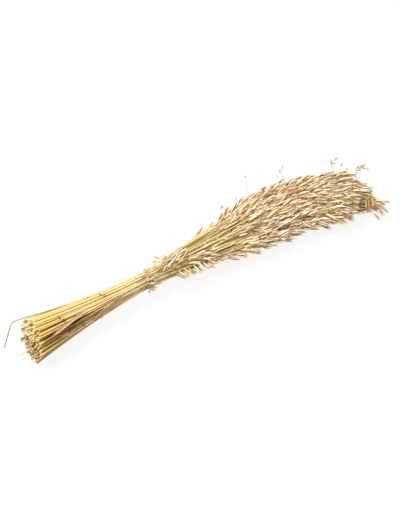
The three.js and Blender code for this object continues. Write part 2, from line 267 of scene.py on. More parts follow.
sheath = past_knot.any(-1) & (scatter(3)[:, None] > 0.45)
radius = radius + KNOT_SWELL * np.minimum(knot, 1) * (1 - to_tip) + SHEATH_THICKNESS * sheath * (1 - to_tip)

SIDES = 8
HOLLOW = 0.58
HOLLOW_DEPTH = 0.011
OFF_THE_TABLE = 0.0003


def hollow_end(end, inwards, spoke):
    """The rings of a cut end: a floor a little way in, the wall of the hollow, and the ring of the cut."""
    floor = (end + inwards * HOLLOW_DEPTH)[:, None]
    return np.stack([floor + spoke * 0.05, floor + spoke * HOLLOW, end[:, None] + spoke * HOLLOW,
                     end[:, None] + spoke * 0.95], axis=1)


# The last ring of the cut is the first of the tube, set back a little so that the edge is bevelled.
line[..., 2] = np.maximum(line[..., 2], radius + OFF_THE_TABLE)
tubes = rings_round(line, radius, SIDES)
cut_ends = hollow_end(line[:, 0], unit(line[:, 1] - line[:, 0]), tubes[:, 0] - line[:, :1])
cut_rings = cut_ends.shape[1]
tubes = np.concatenate([cut_ends, tubes], axis=1)
tubes[:, cut_rings] += 0.03 * (line[:, 1:2] - line[:, :1])


def skin(points, grain, finish, flat=(), loop=False, **marks):
    """A closed skin for each of k like shapes, whose points are k x rings x sides x 3.

    Neighbouring rings are joined by four-sided faces. A flat face closes each end, or in a loop the last
    ring joins the first. grain is the distance round the shape and along it, k x rings x (sides + 1) x 2.
    finish is the material of the faces after each ring, and flat names the rings whose faces aren't smooth.
    marks are numbers that the materials read, one for each point.
    """
    k, rings, sides = points.shape[:3]
    bands = rings if loop else rings - 1
    ring, side = (a.ravel() for a in np.meshgrid(np.arange(bands), np.arange(sides), indexing="ij"))
    after, beyond, seam = (side + 1) % sides, (ring + 1) % rings, sides + 1
    quads = [ring * sides + side, ring * sides + after, beyond * sides + after, beyond * sides + side]
    spots = [ring * seam + side, ring * seam + side + 1, beyond * seam + side + 1, beyond * seam + side]
    corner, spot = np.stack(quads, -1).ravel(), np.stack(spots, -1).ravel()
    kinds = np.broadcast_to(finish, bands)
    finishes, sharp, sizes = kinds[ring], np.isin(ring, flat), np.full(len(ring), 4)
    if not loop:
        corner = np.concatenate([corner, np.arange(sides)[::-1], (rings - 1) * sides + np.arange(sides)])
        spot = np.concatenate([spot, np.arange(sides)[::-1], (rings - 1) * seam + np.arange(sides)])
        finishes = np.concatenate([finishes, [kinds[0], kinds[-1]]])
        sharp = np.concatenate([sharp, [True, True]])
        sizes = np.concatenate([sizes, [sides, sides]])
    step = np.arange(k)[:, None]
    return {
        "points": points.reshape(-1, 3),
        "corners": (corner + step * rings * sides).ravel(),
        "grain": grain.reshape(k, -1, 2)[:, spot].reshape(-1, 2),
        "sizes": np.tile(sizes, k),
        "finish": np.tile(finishes, k),
        "sharp": np.tile(sharp, k),
        "marks": {name: np.broadcast_to(mark, points.shape[:3]).ravel() for name, mark in marks.items()},
    }


def made_of(name, skins, materials):
    """One mesh object from some skins, at the origin, riding on the bunch."""
    mesh = bpy.data.meshes.new(name)
    firsts = np.cumsum([0] + [len(s["points"]) for s in skins[:-1]])
    points = np.concatenate([s["points"] for s in skins])
    corners = np.concatenate([s["corners"] + first for s, first in zip(skins, firsts)])
    sizes = np.concatenate([s["sizes"] for s in skins])
    mesh.vertices.add(len(points))
    mesh.vertices.foreach_set("co", points.astype(np.float32).ravel())
    mesh.loops.add(len(corners))
    mesh.loops.foreach_set("vertex_index", corners.astype(np.int32))
    mesh.polygons.add(len(sizes))
    mesh.polygons.foreach_set("loop_start", (np.cumsum(sizes) - sizes).astype(np.int32))
    mesh.polygons.foreach_set("material_index", np.concatenate([s["finish"] for s in skins]).astype(np.int32))
    mesh.update(calc_edges=True)
    mesh.polygons.foreach_set("use_smooth", ~np.concatenate([s["sharp"] for s in skins]))
    grain = mesh.uv_layers.new(name="grain")
    grain.data.foreach_set("uv", np.concatenate([s["grain"] for s in skins]).astype(np.float32).ravel())
    for mark in sorted({m for s in skins for m in s["marks"]}):
        values = [s["marks"].get(mark, np.zeros(len(s["points"]))) for s in skins]
        field = mesh.attributes.new(mark, "FLOAT", "POINT")
        field.data.foreach_set("value", np.concatenate(values).astype(np.float32))
    for material in materials:
        mesh.materials.append(material)
    piece = bpy.data.objects.new(name, mesh)
    bpy.context.scene.collection.objects.link(piece)
    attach(piece, "root")
    return piece


def grain_of(points):
    """Metres round each shape and along it: the lengths of the steps between its points, added up."""
    lengthways = np.linalg.norm(np.diff(points.mean(2), axis=1), axis=-1).cumsum(1)
    lengthways = np.concatenate([np.zeros_like(lengthways[:, :1]), lengthways], 1)[:, :, None]
    loop = np.concatenate([points, points[:, :, :1]], 2)
    round_it = np.linalg.norm(np.diff(loop, axis=2), axis=-1).mean(1, keepdims=True).cumsum(2)
    round_it = np.concatenate([np.zeros_like(round_it[:, :, :1]), round_it], 2)
    return np.stack(np.broadcast_arrays(round_it, lengthways), -1)


def linear(hex_colour):
    """An sRGB hex colour as the linear light that a material takes."""
    parts = [int(hex_colour[i : i + 2], 16) / 255 for i in (1, 3, 5)]
    return tuple(c / 12.92 if c <= 0.04045 else ((c + 0.055) / 1.055) ** 2.4 for c in parts) + (1.0,)


def add(material, kind, inputs=None, stops=None, **settings):
    """Adds one node to a material: inputs are values or the sockets that feed it, stops a ramp's colours."""
    tree = material.node_tree
    made = tree.nodes.new("ShaderNode" + kind)
    for name, value in settings.items():
        setattr(made, name, value)
    for name, value in (inputs or {}).items():
        if isinstance(value, bpy.types.NodeSocket):
            tree.links.new(value, made.inputs[name])
        else:
            made.inputs[name].default_value = value
    for i, (position, colour) in enumerate(stops or []):
        ramp = made.color_ramp.elements
        stop = ramp[i] if i < len(ramp) else ramp.new(position)
        stop.position = position
        stop.color = colour
    return made


def material_called(name):
    """A new material with an empty tree of nodes."""
    material = bpy.data.materials.new(name)
    material.use_nodes = True
    material.node_tree.nodes.clear()
    return material


def finish_with(material, shader):
    """Gives a material its output and joins the shader to it."""
    output = add(material, "OutputMaterial")
    material.node_tree.links.new(shader.outputs[0], output.inputs["Surface"])


# Ripe oat straw: a waxy skin that shines, over long fibres 0.2 to 0.3 mm wide. They are drawn 0.5 mm wide,
# so that they show. Each straw ripened to its own gold, from brown over yellow to cream, and all are paler
# towards the head. The knots are brown, and what stands out of the bunch has weathered to a greenish grey.
straw_skin = material_called("ripe_oat_straw")
tone = add(straw_skin, "Attribute", attribute_name="tone")
ripe = add(straw_skin, "ValToRGB", {"Fac": tone.outputs["Fac"]}, stops=[
    (0.0, linear("#583508")), (0.12, linear("#9f7429")), (0.32, linear("#d0ac56")), (0.5, linear("#e5c97e")),
    (0.62, linear("#d3bf70")), (0.78, linear("#eddcab")), (1.0, linear("#ddc08e"))])
pale = add(straw_skin, "Attribute", attribute_name="pale")
pale_share = add(straw_skin, "Math", {0: pale.outputs["Fac"], 1: 0.55}, operation="MULTIPLY")
paler = add(straw_skin, "MixRGB", {
    "Fac": pale_share.outputs[0], "Color1": ripe.outputs["Color"], "Color2": linear("#ecdfb4")})
grain = add(straw_skin, "UVMap", uv_map="grain")
FIBRE_WIDTH = 0.0005
FIBRE_LENGTH = 0.04
stretch = add(straw_skin, "Mapping", {
    "Vector": grain.outputs["UV"], "Scale": (1 / FIBRE_WIDTH, 1 / FIBRE_LENGTH, 1)})
fibres = add(straw_skin, "TexNoise", {"Vector": stretch.outputs["Vector"], "Scale": 1.0, "Detail": 3.0})
fibre_tint = add(straw_skin, "ValToRGB", {"Fac": fibres.outputs["Fac"]}, stops=[
    (0.3, linear("#c9b794")), (0.7, linear("#ffffff"))])
fibred = add(straw_skin, "MixRGB", {
    "Fac": 0.55, "Color1": paler.outputs["Color"], "Color2": fibre_tint.outputs["Color"]},
    blend_type="MULTIPLY")
knotty = add(straw_skin, "Attribute", attribute_name="knot")
knotted = add(straw_skin, "MixRGB", {
    "Fac": knotty.outputs["Fac"], "Color1": fibred.outputs["Color"], "Color2": linear("#7d5a2c")})
weather = add(straw_skin, "Attribute", attribute_name="weathered")
weathered = add(straw_skin, "MixRGB", {
    "Fac": weather.outputs["Fac"], "Color1": knotted.outputs["Color"], "Color2": linear("#a09c7e")})
fibre_bump = add(straw_skin, "Bump", {"Height": fibres.outputs["Fac"], "Strength": 0.35, "Distance": 0.0002})
finish_with(straw_skin, add(straw_skin, "BsdfPrincipled", {
    "Base Color": weathered.outputs["Color"], "Roughness": 0.38, "IOR": 1.5,
    "Normal": fibre_bump.outputs["Normal"]}))

# The cut through a straw shows its pale woody wall, with faint spots about 1 mm across.
straw_cut = material_called("cut_straw_wall")
cut_place = add(straw_cut, "TexCoord")
cut_spots = add(straw_cut, "TexNoise", {"Vector": cut_place.outputs["Object"], "Scale": 900.0})
cut_tint = add(straw_cut, "ValToRGB", {"Fac": cut_spots.outputs["Fac"]}, stops=[
    (0.3, linear("#dcc184")), (0.7, linear("#f4e6b8"))])
finish_with(straw_cut, add(straw_cut, "BsdfPrincipled", {
    "Base Color": cut_tint.outputs["Color"], "Roughness": 0.8}))

# The hollow is painted dark brown in spots 1 to 2 mm across, a painted shade for the deep, dark inside of the
# tube, so a cut end is a pale ring round a dark hole.
hollow_painted_shade = material_called("painted_shade_in_the_hollow")
hollow_shade_place = add(hollow_painted_shade, "TexCoord")
hollow_shade_spots = add(hollow_painted_shade, "TexNoise", {"Vector": hollow_shade_place.outputs["Object"], "Scale": 600.0})
hollow_shade_tint = add(hollow_painted_shade, "ValToRGB", {"Fac": hollow_shade_spots.outputs["Fac"]}, stops=[
    (0.3, linear("#5c3a0e")), (0.7, linear("#8f6622"))])
finish_with(hollow_painted_shade, add(hollow_painted_shade, "BsdfPrincipled", {
    "Base Color": hollow_shade_tint.outputs["Color"], "Roughness": 0.9}))

# The material of the faces after each ring of a cut end: the painted shade lines the floor and the wall of
# the hollow, and the last two bands are the cut itself.
SKIN, CUT, HOLLOW_SHADE = 0, 1, 2
CUT_FINISH = [HOLLOW_SHADE, HOLLOW_SHADE, CUT, CUT]
straw_finish = np.array(CUT_FINISH + [SKIN] * (tubes.shape[1] - cut_rings - 1))

# The straws deep inside the fan are painted brown beyond their cut ends, and less so further up: painted
# shade for the shade between the straws.
INSIDE_RIM = 0.76
painted_shade_along = np.clip(along / 0.05, 0, 1) * (1 - 0.65 * np.clip((along - 0.16) / 0.12, 0, 1))
inside = (rim < INSIDE_RIM)[:, None] * painted_shade_along

# Two groups of the outer straws near the cut are painted brown as well: a painted shadow on those that lie
# under the dry leaves, and painted shade on the lowest on the near side.
turned = side[:, None] % 360
shadow_under_leaves = near(turned, 158, 12) * near(along, 0.09, 0.08)
shade_on_lower_side = near(turned, 215, 22) * near(along, 0.08, 0.12)
painted_shadow = shadow_under_leaves + 0.7 * shade_on_lower_side

# Each straw takes a tone of its own, which the painted shade and shadow above darken to brown. The kinked one
# is greenish, and weathered where it stands out.
straw_tone = ((scatter(0) + 0.37 * scatter(3)) % 1)[:, None] * (1 - 0.88 * inside)
straw_tone = straw_tone * (1 - 0.88 * painted_shadow)
straw_tone = np.concatenate([straw_tone[:, :1]] * cut_rings + [straw_tone], 1)[:, :, None]
straw_tone[KINKED] = 0.6

# All are paler up the bunch, from the cut to short of the tie, and a sheath is pale all along, except where
# the painted shade and shadow fall.
straw_pale = np.maximum(np.clip((along - 0.05) / 0.22, 0, 1), 0.8 * sheath)
straw_pale = straw_pale * (1 - 0.9 * inside) * (1 - 0.9 * painted_shadow)
at_the_cut = np.zeros((STRAWS, cut_rings))
straw_pale = np.concatenate([at_the_cut, straw_pale], 1)[:, :, None]
straw_knot = np.concatenate([at_the_cut, np.minimum(knot, 1) * (1 - to_tip)], 1)[:, :, None]
straw_weathered = np.zeros(straw_pale.shape)
straw_weathered[KINKED, cut_rings:, 0] = np.clip((0.12 - along[KINKED]) / 0.04, 0, 1)
straw_grain = grain_of(tubes)

# The heads. From the top of each straw thin branches lean forward, and each ends in a spikelet:
# two papery, boat-shaped husks that gape like a beak, with the slim grain between them. Dried
# hanging in a bunch, the spikelets all point to the tips and overlap like thatch.

SPIKELETS_ON_A_STALK = 50
SPIKELETS_ON_A_THIN_ONE = 30
BRANCH_SPREAD = 0.17
HUSK_LENGTH = 0.0195
HUSK_HALF_WIDTH = 0.0018
KERNEL_RADIUS = 0.00125
BRANCH_RADIUS = 0.00022
STRAY_BRANCH_RADIUS = 0.0004
dice = np.random.default_rng(11)

# The spikelets of a straw wind up its head by the golden angle and spread less and less towards its tip. None
# starts further out than 1.06 to 1.12 of the rim.
how_many = np.where(main, SPIKELETS_ON_A_STALK, SPIKELETS_ON_A_THIN_ONE)
bearer = np.repeat(number, how_many)
first_of = np.cumsum(how_many) - how_many
turn_on_stem = np.arange(len(bearer)) - first_of[bearer]
up_the_head = (turn_on_stem + dice.random(len(bearer))) / how_many[bearer]
base_at = head[bearer] + (tip[bearer] - 0.02 - head[bearer]) * up_the_head
spread = BRANCH_SPREAD * np.sqrt(dice.random(len(bearer))) * (1 - 0.4 * up_the_head)
way_round = turn_on_stem * GOLDEN_ANGLE + FULL_TURN * scatter(2)[bearer]
base_place = place[bearer] + spread[:, None] * np.stack([np.cos(way_round), np.sin(way_round)], -1)
far_out = np.linalg.norm(base_place, axis=-1)
base_place /= np.maximum(far_out / (1.06 + 0.06 * dice.random(len(bearer))), 1)[:, None]
far_out = np.minimum(far_out, 1.12)

# The angle of a spikelet in its section of the bunch: 0 on the far side, 90 on top, 180 on the near side.
round_section = np.degrees(np.arctan2(base_place[:, 1], base_place[:, 0]))
round_section = (round_section + math.degrees(TWIST) * (base_at - TIE_AT)) % 360

# On the top and the upper near side the straws stay bare for longer, with only a few spikelets on them, and
# on the upper far side nearly all the heads end short of the tips.
starts_at = np.select([round_section < 84, round_section < 148, round_section < 172], [0.55, 0.605, 0.47])
bare = (base_at < starts_at) & (far_out > 0.45) & (dice.random(len(bearer)) < 0.8)
ends_at = np.where(round_section < 66, 0.895, 0.915)
bare |= (base_at > ends_at) & (round_section < 90) & (dice.random(len(bearer)) < 0.92)
bearer, base_at, base_place, far_out, round_section = (
    values[~bare] for values in (bearer, base_at, base_place, far_out, round_section))


def ways_at(t, places):
    """The directions forward along the bunch, out of it, and to the side, at t and a place across it."""
    before = in_bunch(t - 0.01, places[:, 0], places[:, 1])
    forward = unit(in_bunch(t + 0.01, places[:, 0], places[:, 1]) - before)
    out = in_bunch(t, places[:, 0] * 1.02, places[:, 1] * 1.02) - in_bunch(t, places[:, 0], places[:, 1])
    out = unit(out - forward * (out * forward).sum(-1, keepdims=True))
    return forward, out, np.cross(forward, out)


# A spikelet leans out of the bunch, more so on the near side, where the heads sag, and a little to one side.
tilt_out = np.radians(3 + 9 * np.clip(far_out - 0.4, 0, 1) + 7 * dice.standard_normal(len(bearer)))
sagging = near(round_section, 195, 28) * np.clip((far_out - 0.7) / 0.3, 0, 1) * (base_at < 0.92)
tilt_out = tilt_out + np.radians(18) * sagging
tilt_side = np.radians(8 * dice.standard_normal(STRAWS)[bearer] + 10 * dice.standard_normal(len(bearer)))
size = HUSK_LENGTH * (0.86 + 0.3 * dice.random(len(bearer)))

# Some spikelets strayed from the heads. These stand alone: three at the waist that point back, and thin hairs
# and sprays above the plume. Each row has t, the angle in the section, the share of the rim, the turn from
# straight ahead, the tilt out of the bunch, the size, and how far back its stem leaves the bunch.
LONE_STRAYS = [
    # at the waist
    (0.365, 50, 1.20, -140, 50, 0.80, -0.005),
    (0.355, 50, 1.20, -155, 15, 0.70, -0.007),
    (0.385, 50, 0.95, -145, 50, 0.55, 0.003),
    # hairs
    (0.680, 38, 1.85, 30, 45, 0.40, 0.030),
    (0.575, 38, 1.40, 30, 40, 0.45, 0.015),
    (0.585, 36, 1.40, 45, 75, 0.30, 0.000),
    (0.625, 36, 1.35, 25, 20, 0.35, 0.005),
    (0.760, 40, 1.60, 30, 50, 0.45, 0.010),
    (0.755, 40, 1.50, 50, 70, 0.40, 0.003),
    (0.745, 38, 1.35, 30, 45, 0.25, 0.005),
    # sprays
    (0.865, 60, 1.65, -155, 75, 0.75, 0.005),
    (0.865, 60, 1.75, 5, -15, 0.45, 0.005),
    (0.870, 60, 1.85, 0, 45, 0.55, 0.010),
    (0.885, 60, 1.55, -70, 85, 0.50, 0.005),
    (0.900, 50, 1.40, 65, 85, 0.25, 0.007),
    # a drooping spray at the bend
    (0.918, 55, 1.65, 5, 75, 0.55, 0.003),
    (0.920, 55, 1.60, 0, 60, 0.65, 0.005),
    (0.925, 55, 1.90, 0, 50, 0.75, 0.008),
    (0.930, 55, 2.00, 0, 5, 0.50, 0.012),
    (0.937, 55, 2.15, 0, 0, 0.65, 0.020),
    (0.923, 55, 1.70, 0, 20, 0.35, 0.008),
]

# The others come in tufts. Each row has how many there are, then the same values, each from one end of the
# tuft to the other, and how far back their stems leave the bunch.
STRAY_TUFTS = [
    # above the tie
    (16, (0.335, 0.420), (67, 135), (1.1, 1.1), (26, -45), (34, 12), (0.70, 0.98), 0.030),
    # round the tie, every way and along it
    (10, (0.300, 0.328), (117, 221), (1.2, 1.2), (-150, 165), (-10, 40), (0.43, 0.71), 0.030),
    (8, (0.304, 0.311), (72, 203), (1.2, 1.2), (-24, 26), (6, 12), (0.66, 0.80), 0.030),
    # under the heads
    (18, (0.378, 0.466), (143, 184), (1.16, 1.16), (78, -4), (30, 48), (0.62, 1.15), 0.030),
    # on the near side of the neck
    (10, (0.412, 0.482), (120, 150), (1.08, 1.12), (-12, 25), (14, 28), (0.75, 1.00), 0.030),
    # along the lower edge of the plume
    (14, (0.472, 0.860), (149, 195), (1.1, 1.1), (28, 0), (24, 38), (0.91, 1.20), 0.030),
    (6, (0.560, 0.830), (231, 205), (1.1, 1.1), (-20, 0), (34, 24), (0.92, 1.30), 0.030),
    # a tuft at the bend
    (10, (0.865, 0.898), (38, 81), (1.06, 1.06), (6, -1), (5, 22), (0.90, 1.23), 0.030),
    # at the tips, hanging there, and past them
    (2, (0.920, 0.929), (87, 99), (1.05, 1.05), (2, -1), (13, 16), (1.10, 1.00), 0.030),
    (5, (0.943, 0.962), (104, 125), (1.06, 1.06), (70, 82), (-11, 15), (1.12, 1.01), 0.030),
    (5, (0.962, 0.993), (109, 140), (0.9, 1.1), (-6, 20), (12, 21), (0.75, 1.01), 0.040),
    (4, (0.968, 1.002), (169, 231), (0.8, 1.2), (0, 60), (14, 80), (0.74, 0.96), 0.040),
]


def tuft(count, t, angle, share, turn, tilt, size, stem):
    """The rows of a tuft: t goes up in even steps, and each other value is scattered between its two ends."""
    between = [np.arange(0.5, count) / count] + [scatter(kind)[:count] for kind in (0, 1, 0, 2, 1)]
    ends = np.array([t, angle, share, turn, tilt, size])
    rows = ends[:, :1] + (ends[:, 1:] - ends[:, :1]) * np.array(between)
    return np.concatenate([rows, np.full((1, count), stem)]).T


strays = np.concatenate([LONE_STRAYS] + [tuft(*row) for row in STRAY_TUFTS])
stray_t, stray_section, stray_share, stray_turn, stray_tilt, stray_size, stray_stem = strays.T
stray_angle = np.radians(stray_section) - TWIST * (stray_t - TIE_AT)
stray_place = stray_share[:, None] * np.stack([np.cos(stray_angle), np.sin(stray_angle)], -1)
to_stalks = np.linalg.norm(stray_place[:, None] / stray_share[:, None, None] - place[None, :STALKS], axis=-1)
bearer = np.concatenate([bearer, to_stalks.argmin(1)])
base_at = np.concatenate([base_at, stray_t])
base_place = np.concatenate([base_place, stray_place])
tilt_side = np.concatenate([tilt_side, np.radians(stray_turn)])
tilt_out = np.concatenate([tilt_out, np.radians(stray_tilt)])
size = np.concatenate([size, HUSK_LENGTH * stray_size])
astray = np.arange(len(bearer)) >= len(bearer) - len(strays)

base = in_bunch(base_at, base_place[:, 0], base_place[:, 1])
forward, out, sideways = ways_at(base_at, base_place)
level_way = forward * np.cos(tilt_side)[:, None] + sideways * np.sin(tilt_side)[:, None]
points_to = level_way * np.cos(tilt_out)[:, None] + out * np.sin(tilt_out)[:, None]

# A spikelet that would go through the table lies on it instead.
LOWEST_BASE = 0.006
LOWEST_POINT = 0.0045
base[:, 2] = np.maximum(base[:, 2], LOWEST_BASE)
points_to[:, 2] = np.maximum(points_to[:, 2], (LOWEST_POINT - base[:, 2]) / size)
points_to = unit(points_to)

# Each spikelet is rolled about its own length at random, and its beak gapes by 4 to 14 degrees.
roll = FULL_TURN * dice.random(len(bearer))[:, None]
beak = unit(np.cross(points_to, np.cross(out, points_to) + 1e-6))
flat_way = np.cross(points_to, beak)
beak, flat_way = (beak * np.cos(roll) + flat_way * np.sin(roll),
                  flat_way * np.cos(roll) - beak * np.sin(roll))
gape = np.radians(4 + 10 * dice.random(len(bearer)))


def laid(shape):
    """Puts a shape for each spikelet, as distances forward, to the beak's side and across, at its base."""
    return (base[:, None, None] + shape[..., 0:1] * points_to[:, None, None]
            + shape[..., 1:2] * beak[:, None, None] + shape[..., 2:3] * flat_way[:, None, None])


def husk(size, gape, side):
    """A husk: a boat whose width swells and draws to a point, arched across, and leaning out by the gape."""
    s = np.array([0, 0.16, 0.42, 0.76, 1.0])
    width = HUSK_HALF_WIDTH * np.array([0.16, 0.72, 1.0, 0.58, 0.03])
    angle = np.radians([-78, -27, 27, 78])
    arch = np.stack([np.cos(angle) - 0.2, np.sin(angle)], -1)
    section = np.concatenate([arch, [[0.42, 0.0]]])
    scale = (size / HUSK_LENGTH)[:, None, None]
    lean = (np.tan(gape)[:, None] * s * size[:, None] + 0.0005 * np.sin(math.pi * s))[:, :, None]
    forward = np.broadcast_to((s * size[:, None])[:, :, None], (len(size), 5, 5))
    beakward = side * (lean + 0.62 * width[:, None] * section[:, 0] * scale)
    across = side * width[:, None] * section[:, 1] * scale
    return np.stack([forward, beakward, np.broadcast_to(across, forward.shape)], -1), s


def kernel(size):
    """The grain: a slim four-sided spindle between the husks."""
    s = np.array([0.03, 0.3, 0.6, 0.84])
    girth = KERNEL_RADIUS * np.array([0.4, 1.0, 0.75, 0.08])
    angle = np.radians([45, 135, 225, 315])
    forward = np.broadcast_to((s * size[:, None])[:, :, None], (len(size), 4, 4))
    beakward = np.broadcast_to(girth[:, None] * np.cos(angle), forward.shape)
    across = np.broadcast_to(girth[:, None] * np.sin(angle), forward.shape)
    return np.stack([forward, beakward, across], -1)


husk_points = []
for beak_side in (1, -1):
    shape, husk_s = husk(size, gape, beak_side)
    husk_points.append(laid(shape))
kernel_points = laid(kernel(size))

# A husk or kernel that would still reach into the table is raised until it lies on it.
LOWEST_HUSK = 0.0004
for points in husk_points + [kernel_points]:
    points[..., 2] += np.maximum(LOWEST_HUSK - points[..., 2].min((1, 2)), 0)[:, None, None]

# A branch leaves its straw forwards and bends round into its spikelet: a cubic curve, from its four controls.
BRANCH_POINTS = 4
BRANCH_SIDES = 3
leaves_at = base_at - 0.018 - 0.035 * dice.random(len(bearer))
leaves_at = np.maximum(leaves_at, head[bearer] - 0.02)
leaves_at[astray] = stray_t - stray_stem
root_place = place[bearer].copy()
root_place[astray] = 0.93 * unit(stray_place)
leaves_from = in_bunch(leaves_at, *root_place.T)
reach = np.linalg.norm(base - leaves_from, axis=-1, keepdims=True)
stem_way = ways_at(leaves_at, root_place)[0]
controls = (leaves_from, leaves_from + 0.4 * reach * stem_way, base - 0.3 * reach * points_to,
            base + 0.0005 * points_to)
s = np.linspace(0, 1, BRANCH_POINTS)[:, None]
weights = ((1 - s) ** 3, 3 * (1 - s) ** 2 * s, 3 * (1 - s) * s ** 2, s ** 3)
branch_line = sum(weight * control[:, None] for weight, control in zip(weights, controls))
branch_line[..., 2] = np.maximum(branch_line[..., 2], 0.001)
branch_radius = np.where(astray, STRAY_BRANCH_RADIUS, BRANCH_RADIUS)[:, None] * np.ones(BRANCH_POINTS)
branch_points = rings_round(branch_line, branch_radius, BRANCH_SIDES)

# Oat husk: thin, dry, papery skin with fine ribs along it, 0.5 mm apart. They are drawn 1.6 mm apart, so that
# they show, and this scale gives that. The husk is cream to tan, browner at the foot, almost white at the
# point, and grey where it has weathered.
RIB_SCALE = 200.0
husk_skin = material_called("papery_oat_husk")
tone = add(husk_skin, "Attribute", attribute_name="tone")
cream = add(husk_skin, "ValToRGB", {"Fac": tone.outputs["Fac"]}, stops=[
    (0.0, linear("#bb945f")), (0.3, linear("#e3cba0")), (0.65, linear("#f6e9cc")), (1.0, linear("#fdf5e4"))])
up_husk = add(husk_skin, "Attribute", attribute_name="up_husk")
bleached = add(husk_skin, "ValToRGB", {"Fac": up_husk.outputs["Fac"]}, stops=[
    (0.0, linear("#e2cda9")), (0.35, linear("#fbf3e4")), (1.0, linear("#ffffff"))])
grain = add(husk_skin, "UVMap", uv_map="grain")
ribs = add(husk_skin, "TexWave", {
    "Vector": grain.outputs["UV"], "Scale": RIB_SCALE, "Distortion": 0.6, "Detail": 1.0})
rib_tint = add(husk_skin, "ValToRGB", {"Fac": ribs.outputs["Fac"]}, stops=[
    (0.0, linear("#ddceb2")), (0.5, linear("#ffffff"))])
ribbed = add(husk_skin, "MixRGB", {
    "Fac": 0.5, "Color1": cream.outputs["Color"], "Color2": rib_tint.outputs["Color"]},
    blend_type="MULTIPLY")
husk_colour = add(husk_skin, "MixRGB", {
    "Fac": 0.8, "Color1": ribbed.outputs["Color"], "Color2": bleached.outputs["Color"]},
    blend_type="MULTIPLY")
husk_weather = add(husk_skin, "Attribute", attribute_name="weathered")
husk_weathered = add(husk_skin, "MixRGB", {
    "Fac": husk_weather.outputs["Fac"], "Color1": husk_colour.outputs["Color"], "Color2": linear("#aea78f")})
rib_bump = add(husk_skin, "Bump", {"Height": ribs.outputs["Fac"], "Strength": 0.3, "Distance": 0.0002})
finish_with(husk_skin, add(husk_skin, "BsdfPrincipled", {
    "Base Color": husk_weathered.outputs["Color"], "Roughness": 0.55, "IOR": 1.45,
    "Normal": rib_bump.outputs["Normal"]}))

# Each plant and each husk has its own tone, with a few brown patches on the top of the plume. The rest of the
# top of the plume is painted lighter, a painted highlight where the light falls on it.
BROWN_PATCHES = ((0.78, 58), (0.75, 88), (0.70, 60), (0.88, 60))
husk_tone = 0.55 + 0.13 * dice.standard_normal(STRAWS)[bearer] + 0.17 * dice.standard_normal(len(bearer))
section_angle = np.concatenate([round_section, stray_section])
for patch_at, patch_angle in BROWN_PATCHES:
    husk_tone -= 0.45 * near(base_at, patch_at, 0.016) * near(section_angle, patch_angle, 9)
# Painted light: the husks on the top of the plume are lighter from t = 0.58 on.
husk_tone += 0.16 * near(section_angle, 62, 24) * np.clip((base_at - 0.58) / 0.05, 0, 1)

# A hair is a strayed spikelet that stands well out of the plume, and it has weathered to grey with its stem.
# The tuft that hangs at the tips is tan, and the other strays are paler than the heads.
hair = np.concatenate([np.zeros((~astray).sum(), bool), (stray_t > 0.5) & (stray_share > 1.3)])
husk_tone[astray] += 0.15
husk_tone[hair] = 0.2
husk_tone[astray] -= 0.5 * (stray_turn > 65) * (stray_t > 0.94) * (stray_t < 0.965)
husk_tone = np.clip(husk_tone, 0, 1)[:, None, None]
branch_tone = np.where(astray, 0.2, 0.45)[:, None, None]
branch_weathered = np.where(hair, 0.9, 0.0)[:, None, None]

# Each piece has one stalk of the frame, the thin straws nearest to it, and all that their heads bear.
HUSK = 3
stalk_materials = [straw_skin, straw_cut, hollow_painted_shade, husk_skin]
for stalk in range(STALKS):
    mine = owner == stalk
    borne = mine[bearer]
    skins = [skin(tubes[mine], straw_grain[mine], straw_finish, flat=np.flatnonzero(straw_finish != SKIN),
                  tone=straw_tone[mine], knot=straw_knot[mine], pale=straw_pale[mine],
                  weathered=straw_weathered[mine])]
    for points in husk_points:
        skins.append(skin(points[borne], grain_of(points[borne]), HUSK, tone=husk_tone[borne],
                          up_husk=husk_s[:, None], weathered=0.8 * branch_weathered[borne]))
    skins.append(skin(kernel_points[borne], grain_of(kernel_points[borne]), HUSK, tone=0.05, up_husk=0.6))
    skins.append(skin(branch_points[borne], grain_of(branch_points[borne]), SKIN, tone=branch_tone[borne],
                      pale=0.4, weathered=branch_weathered[borne]))
    piece = made_of(f"oats_{stalk + 1:02d}", skins, stalk_materials)
    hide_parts(f"oat_stalk_{stalk + 1:02d}")

# The dry leaves. Three strips of dead leaf lie along the outside of the bunch, where they were
# caught under the tie or between the straws: one broad brownish blade and two narrow sheaths.

LEAF_THICKNESS = 0.00035
LEAF_COLUMNS = 11
LEAF_ROWS = 41
LEAF_CLEARANCE = 0.0028
LEAF_TUCK = 0.008
LEAVES = {
    # t at its two ends, angle in the section there, width, curl, tone
    "dry_leaf_1": (0.140, 0.295, 166, 141, 0.0110, 0.0012, 0.5),
    "dry_leaf_2": (0.030, 0.170, 136, 114, 0.0046, 0.0014, 0.8),
    "dry_leaf_3": (0.050, 0.110, 150, 163, 0.0044, 0.0018, 0.7),
}


